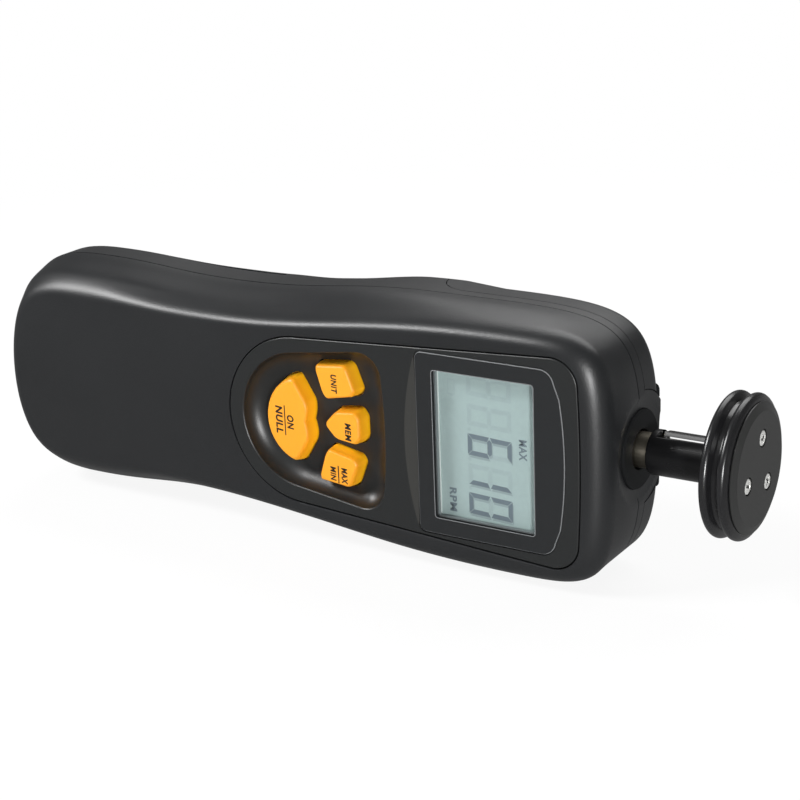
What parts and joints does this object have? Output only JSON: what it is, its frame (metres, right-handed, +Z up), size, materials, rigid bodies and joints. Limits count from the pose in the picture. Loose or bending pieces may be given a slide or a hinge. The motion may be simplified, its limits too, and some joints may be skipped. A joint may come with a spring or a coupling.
{
  "type": "contact_tachometer",
  "caption": "Hand-held contact tachometer with a waisted dark housing, amber keys, a display and a pull-off rubber-tyred wheel on its spindle",
  "frame": {"origin": "on the surface the housing rests on, below the middle of the whole length and depth", "axes": "X along the housing towards the wheel, Y from the front face to the back, Z up across the housing's width"},
  "size_m": [0.2432, 0.0408, 0.074],
  "materials": {
    "housing": "fine-textured moulded plastic, softly glossy on the rounded edges",
    "panel": "fine satin moulding",
    "lens": "clear acrylic with a dark printed border",
    "display": "grey-green reflective liquid crystal glass",
    "white_plastic": "plain moulding",
    "strip_rubber": "layered conductive rubber",
    "key_rubber": "smooth amber silicone",
    "bright_steel": "plated steel",
    "board": "green solder mask",
    "black_plastic": "plain moulding",
    "cast_alloy": "machined alloy",
    "bearing_steel": "ground bearing steel",
    "cage_brass": "pressed brass",
    "spindle_steel": "turned steel, slightly warm",
    "collar": "satin moulding",
    "battery_case": "plain printed steel case",
    "lead_red": "insulated wire",
    "adapter_black": "smooth black moulding",
    "tyre_rubber": "smooth black rubber",
    "cap_satin": "satin dark grey moulding"
  },
  "bodies": {
    "housing": {"front_shell": "housing", "rear_shell": "housing", "head_cover": "housing", "front_panel": "panel", "window_lens": "lens", "display_glass": "display", "display_holder": "white_plastic", "contact_strips": "strip_rubber", "key_domes": "bright_steel", "main_board": "board", "board_parts": "black_plastic", "optical_fork": "black_plastic", "bearing_block": "cast_alloy", "block_screws": "bright_steel", "front_outer_race": "bearing_steel", "rear_outer_race": "bearing_steel", "nose_collar": "collar", "battery": "battery_case", "battery_snap": "black_plastic", "battery_leads": "lead_red", "housing_screws": "bright_steel", "head_screws": "bright_steel", "board_screws": "bright_steel"},
    "on_key": {"key_on": "key_rubber"},
    "unit_key": {"key_unit": "key_rubber"},
    "mem_key": {"key_mem": "key_rubber"},
    "maxmin_key": {"key_maxmin": "key_rubber"},
    "door": {"battery_door": "housing"},
    "shaft": {"spindle": "spindle_steel", "drive_pin": "bright_steel", "encoder_disc": "black_plastic", "retaining_ring": "spindle_steel", "front_inner_race": "bearing_steel", "rear_inner_race": "bearing_steel"},
    "front_ball_set": {"front_balls": "bearing_steel", "front_cage": "cage_brass"},
    "rear_ball_set": {"rear_balls": "bearing_steel", "rear_cage": "cage_brass"},
    "wheel": {"adapter_sleeve": "adapter_black", "wheel_hub": "adapter_black", "tyre": "tyre_rubber", "wheel_cap": "cap_satin", "cap_screws": "bright_steel"}
  },
  "joints": [
    {"name": "on_press", "type": "slide", "parent": "housing", "child": "on_key", "axis": [0, 1, 0], "range_m": [0, 0.0008], "stiffness_N_per_m": 250},
    {"name": "unit_press", "type": "slide", "parent": "housing", "child": "unit_key", "axis": [0, 1, 0], "range_m": [0, 0.0008], "stiffness_N_per_m": 250},
    {"name": "mem_press", "type": "slide", "parent": "housing", "child": "mem_key", "axis": [0, 1, 0], "range_m": [0, 0.0008], "stiffness_N_per_m": 250},
    {"name": "maxmin_press", "type": "slide", "parent": "housing", "child": "maxmin_key", "axis": [0, 1, 0], "range_m": [0, 0.0008], "stiffness_N_per_m": 250},
    {"name": "door_slide", "type": "slide", "parent": "housing", "child": "door", "axis": [-1, 0, 0], "range_m": [0, 0.09]},
    {"name": "spindle_spin", "type": "hinge", "parent": "housing", "child": "shaft", "pos_m": [0, 0.0009, 0.037], "axis": [1, 0, 0], "continuous": true},
    {"name": "front_balls_roll", "type": "hinge", "parent": "housing", "child": "front_ball_set", "pos_m": [0, 0.0009, 0.037], "axis": [1, 0, 0], "continuous": true},
    {"name": "rear_balls_roll", "type": "hinge", "parent": "housing", "child": "rear_ball_set", "pos_m": [0, 0.0009, 0.037], "axis": [1, 0, 0], "continuous": true},
    {"name": "wheel_pull", "type": "slide", "parent": "shaft", "child": "wheel", "axis": [1, 0, 0], "range_m": [0, 0.016]}
  ],
  "couplings": [
    {"joint": "front_balls_roll", "follows": "spindle_spin", "ratio": 0.3875},
    {"joint": "rear_balls_roll", "follows": "spindle_spin", "ratio": 0.3875}
  ]
}
